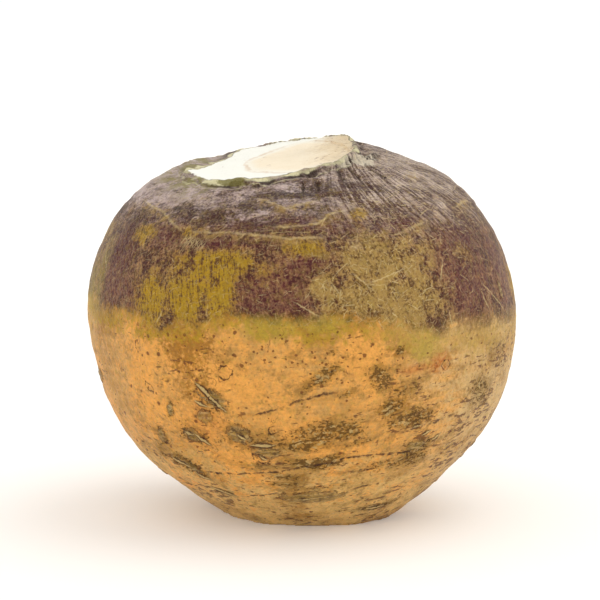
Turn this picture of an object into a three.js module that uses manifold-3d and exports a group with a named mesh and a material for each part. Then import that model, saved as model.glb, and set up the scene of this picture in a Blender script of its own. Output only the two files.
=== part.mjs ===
// A whole rutabaga (swede) as it is sold: the leaves and neck are off in one slanting knife cut,
// and the tap root is trimmed flat, so that the root stands on the trimmed face.
// Millimetres, +Z up. The origin is at the level of the trimmed face, under the middle of the
// root's own box. -Y is the side that the crown cut falls to, and +X is its high end.
import * as THREE from "three";
import { mergeVertices } from "three/addons/utils/BufferGeometryUtils.js";
import Module from "manifold-3d";

// ---------- Driving dimensions ----------
const GIRTH_RADIUS = 62.5; // the widest ring, side to side
const APEX_HEIGHT = 112; // where the neck would end if it were not cut
const DEPTH_SHARE = 0.96; // front to back against side to side

// The root's outline from its tail to its neck, as shares of GIRTH_RADIUS and APEX_HEIGHT
const OUTLINE = [
  [0, -0.065],
  [0.27, -0.045],
  [0.42, 0.003],
  [0.63, 0.095],
  [0.8, 0.19],
  [0.935, 0.33],
  [1, 0.52],
  [0.965, 0.66],
  [0.86, 0.78],
  [0.72, 0.863],
  [0.56, 0.904],
  [0.38, 0.931],
  [0.2, 0.962],
  [0, 0.98],
];

// The tail end sits a little to the right of the girth's middle.
const TAIL_SHIFT = 2;
const TAIL_REACH = 18; // height where that shift has died away

// Swellings of the flesh: lobes round the root, half waves up it, turn in degrees, height
const SWELLINGS = [
  { lobes: 2, waves: 1, turn: 35, height: 0.7 },
  { lobes: 3, waves: 2, turn: 160, height: 0.55 },
  { lobes: 5, waves: 3, turn: 80, height: 0.35 },
  { lobes: 8, waves: 4, turn: 210, height: 0.2 },
];
const RING_TILT = THREE.MathUtils.degToRad(6); // the growth rings rise to the right
const SWELLING_INNER = 20; // radius inside which the swellings die away

// Leaf scars: low steps that ring the neck, one below the other
const SCAR_SPACING = 7.2;
const SCAR_HEIGHT = 0.6;
const SCAR_SKEW = 0.8; // below 1, a step is steeper on its inner side
const SCAR_FULL = 28; // radius up to which the steps stand at full height
const SCAR_OUTER = 50; // radius where the steps have died away
const SCAR_WANDER = [
  { waves: 3, turn: 46, size: 1.6 },
  { waves: 5, turn: 0, size: 0.9 },
];

// Side-root furrows: shallow grooves that run up from the trimmed tail
const FURROW_COUNT = 7;
const FURROW_DRIFT = 0.7; // how unevenly they are spaced
const FURROW_SHARPNESS = 8;
const FURROW_DEPTH = 0.8;
const FURROW_TOP = 22;

// The crown: it rises towards the back, and one stub of leaf stalks stands at its right
const NECK_START = 0.75; // share of APEX_HEIGHT where the crown's own forms set in
const NECK_END = 0.93; // and where they are full
const CROWN_RISE = 0.1; // millimetres up for each millimetre to the back
const STUB = { x: 12, y: 14, height: 1.8, radius: 8 };

// Crown cut: a knife cut that falls to the left and to the front, with a twist in it.
// It curls up on the left, where the knife went in.
const CUT_HEIGHT = 104.8; // over the root's middle
const CUT_FALL_LEFT = 0.17; // millimetres down for each millimetre to the left
const CUT_FALL_FRONT = 0.135; // millimetres down for each millimetre to the front
const CUT_TWIST = 0.0022;
const CUT_CURL = 4; // height of the curl
const CUT_CURL_START = 24; // how far left of the middle the curl sets in
const CUT_CURL_END = 40;

// The blocks that the two cuts take away
const SLAB_SIZE = 96;
const SLAB_TOP = 145;
const TAIL_BLOCK_DEPTH = 40;

// Mesh fineness
const SEGMENTS = 84;
const ROWS = 46;
const SLAB_STEPS = 34;

// ---------- Helpers ----------
const radians = THREE.MathUtils.degToRad;
const smooth = (low, high, value) => THREE.MathUtils.smoothstep(value, low, high);
const bump = (distance, reach) => Math.exp(-((distance / reach) ** 2));

function onlyPositions(geometry) {
  geometry.deleteAttribute("normal");
  geometry.deleteAttribute("uv");
  return mergeVertices(geometry, 1e-3);
}

function solidFrom(wasm, geometry) {
  const closed = onlyPositions(geometry);
  return new wasm.Manifold(
    new wasm.Mesh({
      numProp: 3,
      vertProperties: new Float32Array(closed.attributes.position.array),
      triVerts: new Uint32Array(closed.index.array),
    }),
  );
}

function geometryFrom(solid) {
  const { numProp, vertProperties, triVerts } = solid.getMesh();
  const places = new Float32Array((vertProperties.length / numProp) * 3);
  for (let i = 0; i < places.length / 3; i++) {
    places.set(vertProperties.subarray(i * numProp, i * numProp + 3), i * 3);
  }
  const geometry = new THREE.BufferGeometry();
  geometry.setAttribute("position", new THREE.BufferAttribute(places, 3));
  geometry.setIndex(new THREE.BufferAttribute(new Uint32Array(triVerts), 1));
  geometry.computeVertexNormals();
  return geometry;
}

// ---------- The flesh before any knife ----------
function outlinePoints() {
  const line = new THREE.SplineCurve(
    OUTLINE.map(([r, z]) => new THREE.Vector2(r * GIRTH_RADIUS, z * APEX_HEIGHT)),
  );
  return Array.from({ length: ROWS + 1 }, (_, row) => {
    const point = line.getPointAt(row / ROWS);
    if (row === 0 || row === ROWS) point.x = 0;
    return point;
  });
}

function swelling(azimuth, level) {
  return SWELLINGS.reduce((sum, { lobes, waves, turn, height }) => {
    const round = Math.cos(lobes * azimuth + radians(turn));
    const upward = Math.sin((waves * Math.PI * level) / APEX_HEIGHT + lobes);
    return sum + height * round * upward;
  }, 0);
}

function scarStep(radius, azimuth) {
  const wander = SCAR_WANDER.reduce(
    (sum, { waves, turn, size }) => sum + size * Math.sin(waves * azimuth + radians(turn)),
    0,
  );
  const phase = (radius + wander) / SCAR_SPACING;
  const along = phase - Math.floor(phase);
  const step = Math.sin(Math.PI * along ** SCAR_SKEW);
  return SCAR_HEIGHT * step * (1 - smooth(SCAR_FULL, SCAR_OUTER, radius));
}

function furrow(azimuth, z) {
  const across = Math.cos(FURROW_COUNT * azimuth + FURROW_DRIFT * Math.sin(2 * azimuth));
  return FURROW_DEPTH * across ** FURROW_SHARPNESS * (1 - smooth(0, FURROW_TOP, z));
}

function fleshGeometry() {
  const geometry = new THREE.LatheGeometry(outlinePoints(), SEGMENTS);
  geometry.rotateX(Math.PI / 2);
  const place = geometry.attributes.position;
  for (let i = 0; i < place.count; i++) {
    const x = place.getX(i);
    const y = place.getY(i);
    const z = place.getZ(i);
    const radius = Math.hypot(x, y);
    if (radius < 1e-6) continue;
    const azimuth = Math.atan2(y, x);
    const level = z - Math.tan(RING_TILT) * x;
    const swell = smooth(0, SWELLING_INNER, radius) * (swelling(azimuth, level) - furrow(azimuth, z));
    const share = (radius + swell) / radius;
    const neck = smooth(NECK_START, NECK_END, z / APEX_HEIGHT);
    const stub = STUB.height * bump(Math.hypot(x - STUB.x, y - STUB.y), STUB.radius);
    place.setXYZ(
      i,
      x * share + TAIL_SHIFT * (1 - smooth(0, TAIL_REACH, z)),
      y * share * DEPTH_SHARE,
      z + neck * (scarStep(radius, azimuth) + CROWN_RISE * y + stub),
    );
  }
  return geometry;
}

// ---------- The two knife cuts ----------
function cutLevel(x, y) {
  const plane = CUT_HEIGHT + CUT_FALL_LEFT * x + CUT_FALL_FRONT * y;
  return plane + CUT_TWIST * x * y + CUT_CURL * smooth(CUT_CURL_START, CUT_CURL_END, -x);
}

function neckSlab() {
  const geometry = new THREE.BoxGeometry(
    SLAB_SIZE,
    SLAB_SIZE,
    1,
    SLAB_STEPS,
    SLAB_STEPS,
    1,
  );
  const place = geometry.attributes.position;
  for (let i = 0; i < place.count; i++) {
    const underside = place.getZ(i) < 0;
    place.setZ(i, underside ? cutLevel(place.getX(i), place.getY(i)) : SLAB_TOP);
  }
  return geometry;
}

function tailBlock() {
  const size = 3 * GIRTH_RADIUS;
  const block = new THREE.BoxGeometry(size, size, TAIL_BLOCK_DEPTH);
  return block.translate(0, 0, -TAIL_BLOCK_DEPTH / 2);
}

// ---------- The rutabaga ----------
const wasm = await Module();
wasm.setup();

const flesh = solidFrom(wasm, fleshGeometry());
const trimmed = flesh
  .subtract(solidFrom(wasm, neckSlab()))
  .subtract(solidFrom(wasm, tailBlock()));

const geometry = geometryFrom(trimmed);
geometry.computeBoundingBox();
const middle = geometry.boundingBox.getCenter(new THREE.Vector3());
geometry.translate(-middle.x, -middle.y, 0);

const skin = new THREE.MeshStandardMaterial({
  color: 0xc08a45,
  roughness: 0.55,
  metalness: 0,
});

const rutabaga = new THREE.Mesh(geometry, skin);
rutabaga.name = "rutabaga";

const root = new THREE.Group();
root.add(rutabaga);

export default root;
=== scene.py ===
"""A whole rutabaga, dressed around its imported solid.

The skin is grown onto the solid by one Geometry Nodes tree, its marks are laid on it by place and
size, a second tree raises and sinks them, and one procedural material colours skin and cut flesh.
Lengths are millimetres until a mesh is filled; a place on the skin is an azimuth in degrees, nought
at the front and rising to the right, and a height over the trimmed tail.
"""

import math

import bmesh
import bpy
import numpy as np
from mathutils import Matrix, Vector


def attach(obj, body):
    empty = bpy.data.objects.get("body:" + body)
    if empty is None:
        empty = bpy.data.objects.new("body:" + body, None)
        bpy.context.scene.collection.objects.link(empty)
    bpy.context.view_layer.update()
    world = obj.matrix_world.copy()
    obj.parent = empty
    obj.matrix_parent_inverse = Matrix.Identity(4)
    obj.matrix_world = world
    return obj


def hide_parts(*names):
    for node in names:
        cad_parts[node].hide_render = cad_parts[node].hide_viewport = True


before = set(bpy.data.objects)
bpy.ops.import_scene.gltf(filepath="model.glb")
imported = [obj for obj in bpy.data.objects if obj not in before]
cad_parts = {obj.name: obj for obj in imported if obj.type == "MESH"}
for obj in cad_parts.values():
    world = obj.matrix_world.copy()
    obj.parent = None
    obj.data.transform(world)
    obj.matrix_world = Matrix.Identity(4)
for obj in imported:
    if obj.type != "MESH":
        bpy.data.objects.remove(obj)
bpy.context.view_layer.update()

# ---------- Driving sizes ----------
MM = 0.001
SEED = 7
HEART = (0, 0, 50)  # a point deep in the flesh, from which every ray meets the skin once
GIRTH = 62.5  # radius of the widest ring
WELD = 0.01  # points of the solid that lie nearer than this become one
DIVISIONS = 128  # of each edge of the cube that is blown up into the skin
RAY_REACH = 100  # how far from the heart each point is let down from
SMOOTHING = 14  # rounds that melt the solid's facets
CROWN_ROUNDS = 40  # rounds that carry the skin's shape on over the crown cut
GRAZING = 0.2  # the least share by which two directions have to agree to face each other
MAP_SHARE = 0.97  # of each square of the map, so that its sides don't touch
RING_TILT = math.radians(6)  # the growth rings rise to the right
TAIL_TOLERANCE = 0.05  # height under which a point belongs to the trimmed tail
TAIL_CLEAR = 3.0  # height by which the skin's relief is in full
RELIEF = {"Swell": 0.22, "Grain": 0.07, "Crust": 0.25, "Crack": 0.8, "Lip": 0.8}  # heights

# The crown's knife cut, as the solid has it
CUT_HEIGHT = 104.8
CUT_FALL_LEFT = 0.17
CUT_FALL_FRONT = 0.135
CUT_TWIST = 0.0022
CUT_CURL = 4
CUT_CURL_REACH = (24, 40)
CUT_SHIFT = (0.044, -0.269)  # how far the solid was moved to put its middle over the origin
CUT_TOLERANCE = 0.12  # a point nearer to the cut than this belongs to it
CUT_LOWEST = 88  # and so does none below this height
CUT_RADII = (20, 60, 200)  # from the heart to the cut: the least, the first try and the most
CUT_TRIES = 12
CUT_UPWARD = 0.3  # how far upwards a direction points, at least, to meet the cut
NEVER = 999.0  # stands for the radius of a face that a direction never meets
RIM_LOWEST = 84  # above this height the distance from the cut's rim is worked out
RIM_UNSEEN = -60  # and below it, the distance is given as this
RIM_SECTOR = 4  # degrees round the rim for each of its kept radii
RIM_OVERLAP = 0.5
RIM_BLUR = (0.1, 0.2, 0.4, 0.2, 0.1)

# Places and lines on the skin
CUT_PENALTY = 1e6  # keeps a place on the skin from being found on the cut
SPOT_SLACK = 3  # how far a place may lie off the skin's nearest point
OUTSIDE = 9  # times a patch's size, where it has surely ended
LINE_STEP = 0.6
LINE_NEAR = 6  # beyond this distance, a line's distance is given as LINE_FAR
LINE_FAR = 9
LINE_REACH = 3.2  # where a line is no longer present at all
LINE_FADE = 1.2
LINE_BATCHES = 24  # parts of the skin that are worked on in turn, to spare memory

SWIRL_AT = (12, -5)  # near the stub of leaf stalks, where the shoulder's fine lines run out from
SWIRL_REACH = 26  # radius at which those lines are as wide as their noise
SWIRL_TWIST = 0.016  # radians by which they turn for each millimetre down
TAIL_AT = 2  # how far right of the middle the trimmed tail lies
CORE_AT = (-1.5, -5)  # the paler core that shows in the cut
CORE_SIZE = (15, 22)

# The studio
WORLD_STRENGTH = 1.02
SUN_STRENGTH = 0.7
SUN_WIDTH = math.radians(60)
SUN_FROM = (0.75, 0.1, 1)
FLOOR_HALF = 6000
FLOOR_COLOUR = (0.9, 0.87, 0.82)
FLOOR_GLOW = 0.14
EYE_AIM = (-0.6, 0, 61.9)
EYE_DISTANCE = 585.8
EYE_ELEVATION = math.radians(7)
LENS = 120
SENSOR = 36

# ---------- Colours ----------
GLOSS_GREY = 0.03  # what the gloss adds to every colour, taken off beforehand


def tint(code):
    """A web colour as the linear red, green and blue that the shaders work in."""
    shares = [((code >> shift) & 255) / 255 for shift in (16, 8, 0)]
    linear = [s / 12.92 if s <= 0.04045 else ((s + 0.055) / 1.055) ** 2.4 for s in shares]
    return tuple(max(share - GLOSS_GREY, 0.004) for share in linear)


ORANGE = tint(0xEAA85A)
DEEP_ORANGE = tint(0xAC7632)
TAN = tint(0xD4A466)
DUSTY_TAN = tint(0xD2AE78)
OLIVE_VEIL = tint(0x80602A)
# Pale tan, partly painted light bounced up from the floor
LOW_TAN_AND_BOUNCE_LIGHT = tint(0xE4BE7C)
BROWN_GOLD = tint(0xA27020)
BLUSH = tint(0xB2622A)
DASH_BROWN = tint(0x5E3C14)
YELLOW_GREEN = tint(0xB08C28)
YELLOW_BROWN = tint(0x926822)
GREEN = tint(0xB49E48)
MUSTARD = tint(0xAE8A30)
MUSTARD_DARK = tint(0x6A4A24)
OLIVE_TAN = tint(0xC8A464)
OLIVE = tint(0xAC8C54)
OLIVE_BROWN = tint(0x664A32)
OLIVE_DARK = tint(0x463A22)
WORN_TAN = tint(0xA47E5A)
WORN_MAROON = tint(0x986A58)
BROWN_PURPLE = tint(0x54382A)
MAROON = tint(0x583436)
DARK_PURPLE = tint(0x483034)
SLATE_DARK = tint(0x3C2824)
SLATE = tint(0x785F56)
SHRED_PALE = tint(0xEADCC2)
# The pale lilacs of the bloom, which also carry its painted sheen
LILAC_TAN = tint(0xE0CAAE)
LILAC = tint(0xDCC6C0)
SCRATCH_PALE = tint(0xD8C08C)
SPECK_BROWN = tint(0x744818)
CRUST_DARK = tint(0x46320F)
CRUST_PALE = tint(0xCEB27A)
CRUST_GREY = tint(0x8C7844)
SCURF_DARK = tint(0x604A1C)
SCURF_OLIVE = tint(0x8A6A2E)
CUT_WHITE = tint(0xF4F2E6)
CUT_CREAM = tint(0xF3E3C6)
CUT_BROWNED = tint(0xD2B686)
CUT_LINE = tint(0xD0A878)
CUT_SPECK = tint(0x94684A)
TAIL_TAN = tint(0xB89460)
TAIL_BROWN = tint(0x7A5C34)
RIND = tint(0xE4DAAE)
BRUISE_OLIVE = tint(0x7C7440)
RIND_OLIVE = tint(0x8E8250)

# ---------- Where the colours lie ----------
# The line between the purple shoulder and the orange flank: azimuth, height
BOUNDARY = [
    (-180, 61),
    (-150, 64),
    (-120, 61),
    (-95, 64),
    (-75, 63.8),
    (-63, 61.4),
    (-51, 63),
    (-43, 61),
    (-27, 61.3),
    (-18, 64.8),
    (-3, 62.2),
    (9.5, 63.2),
    (25, 61.8),
    (35, 58.4),
    (44.5, 60),
    (71, 58),
    (95, 61),
    (125, 59),
    (155, 63),
    (180, 61),
]

# Patches: azimuth, height, width, tallness, turn in degrees, strength
PURPLE_PATCHES = [
    (-10, 71.5, 21, 15, 0, 1),
    (1, 78.7, 21, 8, 14, 1),
    (-3, 68.5, 18, 7, 0, 0.9),
    (-12, 83, 30, 6.5, 0, 0.55),
    (-6, 88.6, 40, 6, 2, 1),
    (49, 71, 25, 25, 0, 1),
    (49, 83, 26, 14, 10, 0.9),
    (69, 73, 13, 26, 0, 1),
    (-59, 75, 15, 29, 0, 1),
    (-50, 67, 12, 12, 0, 0.7),
    (30, 88, 18, 3.4, 12, 1.2),
    (-43, 85, 15, 8, 0, 0.9),
    (7.5, 79, 9, 5, 0, 0.8),
    (-25, 83, 13, 4.6, 0, 1),
    (-35, 79, 10, 5, 0, 0.6),
]
GOLD_PATCHES = [
    (-52, 84.5, 10, 6.5, 0, 0.9),
    (-42, 67, 12, 15, 0, 1),
    (-31, 69, 15, 15, 0, 1),
    (-21.5, 71, 9, 17, 0, 1),
    (-24, 77.5, 24, 9, 0, 1.1),
    (1.4, 82.6, 13, 5.5, 0, 0.9),
    (18.5, 91, 4.5, 4, 0, 1),
    (-35, 85.6, 8, 3.6, 0, 0.8),
]
SCRATCHED_PATCHES = [
    (21, 79, 27, 15, 0, 1),
    (15, 70, 22, 12, 0, 1),
    (28, 68, 26, 15, 0, 1),
    (7, 73, 10, 9, 0, 0.8),
    (50, 79, 8, 7, 0, 0.7),
    (36, 82, 12, 6, 0, 0.6),
]
BROWN_PATCHES = [
    (-30, 56, 17, 9, 0, 1),
    (-30, 51, 13, 7, 0, 0.9),
    (-29, 45.5, 11, 10, 0, 0.8),
    (-66, 58, 7, 12, 0, 0.8),
    (25, 55, 10, 5, 0, 0.5),
    (26, 39, 12, 8, 20, 0.6),
]
GREEN_PATCHES = [
    (-78, 66, 12, 22, 0, 0.8),
    (-70, 72, 9, 22, 0, 0.6),
    (33, 55.8, 9, 8.5, 0, 1),
    (-9, 61.5, 16, 6, 0, 1),
    (5, 62.5, 13, 5, 0, 0.8),
]
BLUSH_PATCHES = [(38.6, 51, 7, 6, 0, 1), (31, 49.5, 9, 2.5, 8, 0.7), (-27, 35, 10, 12, 0, 0.35)]

# Olive bruises at the edge of the cut
BRUISES = [
    (-52, 99, 3, 2, 0, 0.7),
    (-43.3, 99, 4, 2, 0, 0.9),
    (-33.5, 98.5, 9, 3, 0, 1),
    (-26.8, 97.3, 4, 2, 0, 0.7),
]

# The torn bases of leaf stalks beside the cut
TORN_PATCHES = [
    (44, 103.3, 9, 6, 0, 1),
    (60, 104.2, 8, 6, 0, 0.9),
    (75, 104.8, 7, 5, 0, 0.7),
    (33, 102.6, 6, 4, 0, 0.6),
]

# Corky crusts with a dark outline: azimuth, height, width, tallness, turn, strength
CRUSTS = [
    (-27.5, 36.4, 5.5, 4.5, 0, 0.8),
    (-33, 30.5, 7, 4.4, -18, 0.8),
    (-18, 31.5, 8, 6, -20, 0.8),
    (4, 11.6, 17, 5.6, 5, 1),
    (-38.5, 37.6, 2.4, 4.2, -25, 0.9),
    (65, 67.8, 2.6, 5.4, 10, 1),
    (37, 27, 7, 3.4, 20, 0.8),
    (-41, 20.4, 11, 3.6, -30, 0.7),
    (-46, 29, 3.6, 6, -20, 0.7),
    (-23, 41.5, 7, 4.5, -42, 0.8),
    (-10.5, 26.8, 9, 5, 0, 0.7),
]
# Scars that show as a thin dark ring only
SCARS = [
    (-20, 49.4, 3.9, 3.6, 0, 1),
    (-47, 54.5, 2, 3.2, 12, 0.75),
    (-44.6, 43, 4, 2.2, -40, 0.7),
    (41, 49.5, 3, 3, 0, 1),
    (-8, 33.5, 3, 2.4, 0, 0.8),
    (33, 24, 4, 3, 10, 0.9),
    (42, 27, 4, 3, 20, 0.9),
    (-12.6, 24.6, 5, 3, -25, 0.9),
]
# Slivers of pale cork, each in a dark bed: azimuth, height, length, turn
SLIVERS = [
    (-25.5, 43.2, 10.5, -42),
    (-22.5, 40.2, 7, -50),
    (-28, 40.2, 5, -25),
    (-29.8, 29.2, 6.5, -38),
    (-11.4, 28.9, 8.5, 3),
    (-11.8, 24.8, 3.6, -32),
    (-34, 31, 4, -15),
    (-17, 31, 4, -30),
    (-43, 21, 7, -28),
    (-37, 17, 6, -26),
    (-33, 12, 9, -24),
    (39, 30.5, 4, 25),
    (35, 33, 4, 15),
    (44, 29, 4, 35),
    (1, 11.4, 5, 4),
    (36, 6.4, 7, 12),
]
# Dark scurf in nets: azimuth, height, width, tallness, turn, strength
SCURF = [
    (5, 32.3, 15, 9, 12, 1),
    (5, 23.6, 16, 5, 6, 1.3),
    (-6, 16.5, 12, 3, 4, 0.9),
    (-14, 22, 18, 3, -2, 0.6),
    (12, 33.2, 12, 7, 14, 0.9),
    (-0.6, 29, 12, 5, 10, 1),
    (5, 48.7, 12, 4, 35, 1),
    (12, 44, 6, 2.6, 20, 0.8),
    (20.5, 48, 7, 9, 40, 0.9),
    (25.6, 55, 3, 2.6, 0, 1.2),
    (7.5, 55.7, 3, 3, 0, 0.7),
    (-39, 37.3, 2, 5.5, -25, 1.3),
    (25, 38.8, 7, 5, 30, 1.1),
    (32, 35.5, 15, 6, 8, 1),
    (38, 24.6, 11, 10, 20, 0.9),
    (57.6, 40.4, 8, 12, 60, 0.9),
    (18, 29.6, 9, 3, 12, 0.8),
    (-6, 18.8, 10, 3, -5, 0.9),
    (-41, 20.4, 14, 6, -32, 0.8),
    (35, 6.5, 16, 3.4, 12, 1.1),
    (6, 15, 26, 3, 8, 0.6),
    (30, 21.5, 22, 5, 10, 0.7),
    (-50, 24, 5, 14, -35, 0.6),
    (-18, 31.5, 12, 8, -10, 0.6),
    (-10, 29, 15, 9, 0, 0.7),
    (-32, 30, 15, 6, -18, 0.6),
    (-25, 41, 9, 7, -42, 0.7),
    (28, 43, 12, 6, 30, 0.6),
    (64, 50, 10, 18, 70, 0.5),
]
# Where the bloom and its painted sheen are thin and the shoulder dark
DUSK_PATCHES = [
    (-38, 90.5, 26, 6, -6, 1),
    (-60, 84, 12, 16, 0, 1),
    (2, 96, 26, 4, 3, 1),
    (26, 97, 16, 6, -10, 1),
    (-20, 92, 16, 4, 4, 0.7),
    (58, 84, 18, 16, 0, 0.8),
    (62, 93, 10, 7, 0, 0.6),
    (30, 92, 14, 5, 0, 0.5),
    (13, 96.5, 17, 9, -8, 0.6),
    (-9, 88, 24, 6, 0, 0.7),
]
# Where brown lenticels crowd
SPECK_PATCHES = [(-8, 56, 46, 15, 0, 1), (12, 53, 24, 12, 0, 0.8), (-30, 52, 18, 14, 0, 0.9)]

# Lines: each is a list of azimuth, height
LEAF_ARCS = [
    [(-67, 92.8), (-50, 90.4), (-43, 88), (-36, 85.3)],
    [(-36, 85.6), (-19.5, 86), (-4.6, 84.8), (7.7, 85.3)],
    [(-19, 95), (-11, 93.4), (-5.4, 92.2), (0, 93.2), (7, 94.6)],
    [(-11, 87.8), (-3.6, 87.6), (5, 88.6), (9, 91), (17, 92)],
    [(28, 85.6), (35, 87.2), (43, 88.9)],
    [(57, 90.8), (68, 91.8), (78, 91.9)],
    [(68, 100.3), (58, 98.6), (49, 97.7)],
]
RING_LINES = [
    [(-16, 36.7), (-7, 39.3), (0, 42.4), (11, 45)],
    [(0, 45.5), (5, 48.3), (10, 51.6)],
    [(-38, 18.6), (-23, 19), (-8, 20.5), (9, 23.6), (15, 24.9), (43, 24.9)],
    [(-29, 10.7), (-16, 11.8), (-4.6, 13.9)],
    [(28, 31.2), (39, 33), (50, 35.4)],
    [(28.5, 49.3), (32, 50.3), (36.6, 50.5)],
    [(13, 20.2), (28, 20.2)],
    [(17, 13.8), (31, 15.6)],
    [(-41, 14), (-36, 11.6), (-30, 9.9)],
]
LONG_SCRATCHES = [
    [(-76, 84), (-72, 77)],
    [(-72, 79), (-66, 73)],
    [(55, 71), (66, 62)],
    [(13, 76), (19, 71)],
    [(17, 73), (29, 77)],
    [(41, 79), (38, 72)],
    [(-40, 61), (-37, 66)],
    [(-2.6, 69), (5, 64.3)],
    [(3.9, 74.1), (7.2, 71.3)],
    [(7, 74.4), (10.2, 69.7)],
    [(53.7, 69.8), (57.2, 62.3)],
    [(39.8, 65.6), (42, 60)],
]
# A comb of short scratches side by side: azimuth, height, length, turn
COMB = [(-35.5 + 1.15 * tooth, 83.8 - 0.2 * tooth, 4.5, 62) for tooth in range(7)]
CRACKS = [
    [(0.4, 98.9), (0.4, 95.8)],
    [(7.5, 98.9), (6.3, 95.8)],
    [(22.3, 102), (20.3, 99.4), (20.3, 96.3)],
    [(30, 102), (29, 98), (31, 95)],
    [(-23, 98), (-19, 97.6), (-14, 98.3)],
    [(33.3, 101.9), (41.6, 100.6), (43, 98)],
    [(44.6, 102.6), (43.3, 100.6), (44.2, 99)],
    [(49.1, 102.8), (50.3, 101.2)],
    [(78.5, 106.5), (71.3, 104.9), (73.3, 103.7)],
    [(41.1, 103.9), (57.4, 104.8)],
]

# What nature repeats round the sides and the back, where nothing is placed by hand
WILD_SIDES = (76, 284)  # azimuths between which it is sown
# Patches: how many, heights, widths, tallnesses
WILD = {
    "purple": (17, (62, 92), (8, 26), (5, 22)),
    "gold": (12, (62, 86), (9, 28), (6, 18)),
    "scratched": (7, (64, 86), (10, 24), (7, 15)),
    "brown": (5, (46, 58), (8, 16), (5, 10)),
    "green": (4, (55, 63), (6, 12), (4, 8)),
    "crust": (13, (9, 46), (3, 12), (2.4, 5)),
    "scar": (9, (12, 54), (2.4, 4), (2.2, 4)),
    "dusk": (9, (80, 97), (10, 24), (4, 14)),
    "scurf": (36, (7, 50), (4, 18), (2.6, 8)),
    "specks": (6, (48, 58), (14, 40), (8, 16)),
}
WILD_TURN = (6, 16)  # middle and spread
WILD_STRENGTH = (0.7, 1.1)
WILD_WAVE = 4  # radians of the slow wave in each line
# Slivers: how many, heights, lengths, middle and spread of the turn
WILD_SLIVERS = (24, (9, 44), (3, 10), (0, 25))
# Lines: how many, heights, length in degrees, height of their wave, steps
WILD_ARCS = (9, (84, 95), 34, 0.8, 4)
WILD_RINGS = (11, (9, 46), 38, 0.7, 4)
WILD_SCRATCHES = (7, (66, 84), 5, 2.4, 1)

# Short pale scratches: cell, width, length, share of the cells that hold one
STROKES = [(4.6, 0.2, 5.0, 0.6), (2.4, 0.17, 2.8, 0.7), (1.5, 0.15, 1.6, 0.7)]
# Lenticels: cell, radius, share of the cells that hold one
LENTICELS = [(2.6, 0.75, 0.17), (1.5, 0.45, 0.16)]


# ---------- Node trees as Python expressions ----------
def operator(operation, swapped=False):
    """A method that adds a Math node for a wire and the other value, which swapped puts first."""

    def method(wire, *other):
        values = (*other, wire) if swapped else (wire, *other)
        return wire.bench.maths(operation, *values)

    return method


class Wire:
    """A socket that Python's operators work on: each one adds its Math node."""

    def __init__(self, bench, socket):
        self.bench = bench
        self.socket = socket

    __add__ = operator("ADD")
    __radd__ = operator("ADD", swapped=True)
    __sub__ = operator("SUBTRACT")
    __rsub__ = operator("SUBTRACT", swapped=True)
    __mul__ = operator("MULTIPLY")
    __rmul__ = operator("MULTIPLY", swapped=True)
    __truediv__ = operator("DIVIDE")
    __abs__ = operator("ABSOLUTE")


class Bench:
    """A node tree under construction, of a material or of Geometry Nodes."""

    def __init__(self, tree):
        self.tree = tree

    def node(self, kind, settings=None, values=None, output=0):
        """Adds a node: its settings first, then the values or wires of its sockets."""
        made = self.tree.nodes.new(kind)
        for name, setting in (settings or {}).items():
            setattr(made, name, setting)
        pairs = values.items() if isinstance(values, dict) else enumerate(values or [])
        for name, value in pairs:
            if isinstance(value, Wire):
                self.tree.links.new(value.socket, made.inputs[name])
            elif made.inputs[name].type == "RGBA":
                made.inputs[name].default_value = (*value, 1)
            else:
                made.inputs[name].default_value = value
        return Wire(self, made.outputs[output]) if made.outputs else made

    def maths(self, operation, *values):
        return self.node("ShaderNodeMath", {"operation": operation}, values)

    def vector(self, operation, *values, output=0):
        return self.node("ShaderNodeVectorMath", {"operation": operation}, values, output)

    def dot(self, one, other):
        return self.vector("DOT_PRODUCT", one, other, output="Value")

    def times(self, vector, share):
        return self.node("ShaderNodeVectorMath", {"operation": "SCALE"}, {0: vector, "Scale": share})

    def parts(self, vector):
        split = self.node("ShaderNodeSeparateXYZ", None, [vector])
        return [Wire(self, socket) for socket in split.socket.node.outputs]

    def join(self, x, y, z):
        return self.node("ShaderNodeCombineXYZ", None, [x, y, z])

    def most(self, one, other):
        return self.maths("MAXIMUM", one, other)

    def least(self, one, other):
        return self.maths("MINIMUM", one, other)

    def kept(self, value):
        """The value held between nought and one."""
        return self.node("ShaderNodeClamp", None, [value, 0.0, 1.0])

    def rise(self, value, start, end, low=0.0, high=1.0):
        """Low below start, high above end, and a smooth slope between them."""
        settings = {"interpolation_type": "SMOOTHSTEP"}
        return self.node("ShaderNodeMapRange", settings, [value, start, end, low, high])

    def fall(self, value, start, end):
        """One below start, nought above end, and a smooth slope between them."""
        return self.rise(value, start, end, 1.0, 0.0)

    def near(self, value, full, gone):
        """One while the value is within full of nought, and nought when it is gone or more away."""
        return self.fall(abs(value), full, gone)

    def mosaic(self, share, pattern):
        """Turns a share and a pattern around nought into flecks that cover that share."""
        return self.rise(share + pattern * 0.75, 0.12, 0.88)

    def noise(self, where, size, detail=2.0, roughness=0.5, seed=0):
        """Noise between about -1 and 1, with swells of about the given size."""
        if seed:
            where = self.vector("ADD", where, (seed * 31.7, seed * 17.9, seed * 11.3))
        values = {"Vector": where, "Scale": 1 / size, "Detail": detail, "Roughness": roughness}
        return (self.node("ShaderNodeTexNoise", {"noise_dimensions": "3D"}, values) - 0.5) * 5.0

    def blend(self, share, under, over):
        """Lays one colour over another by a share."""
        settings = {"data_type": "RGBA", "clamp_factor": True}
        return self.node("ShaderNodeMix", settings, {0: share, 6: under, 7: over}, 2)

    def coats(self, colour, *layers):
        """Lays colours over one another in turn, each by its own share."""
        for share, over in layers:
            colour = self.blend(share, colour, over)
        return colour


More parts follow.
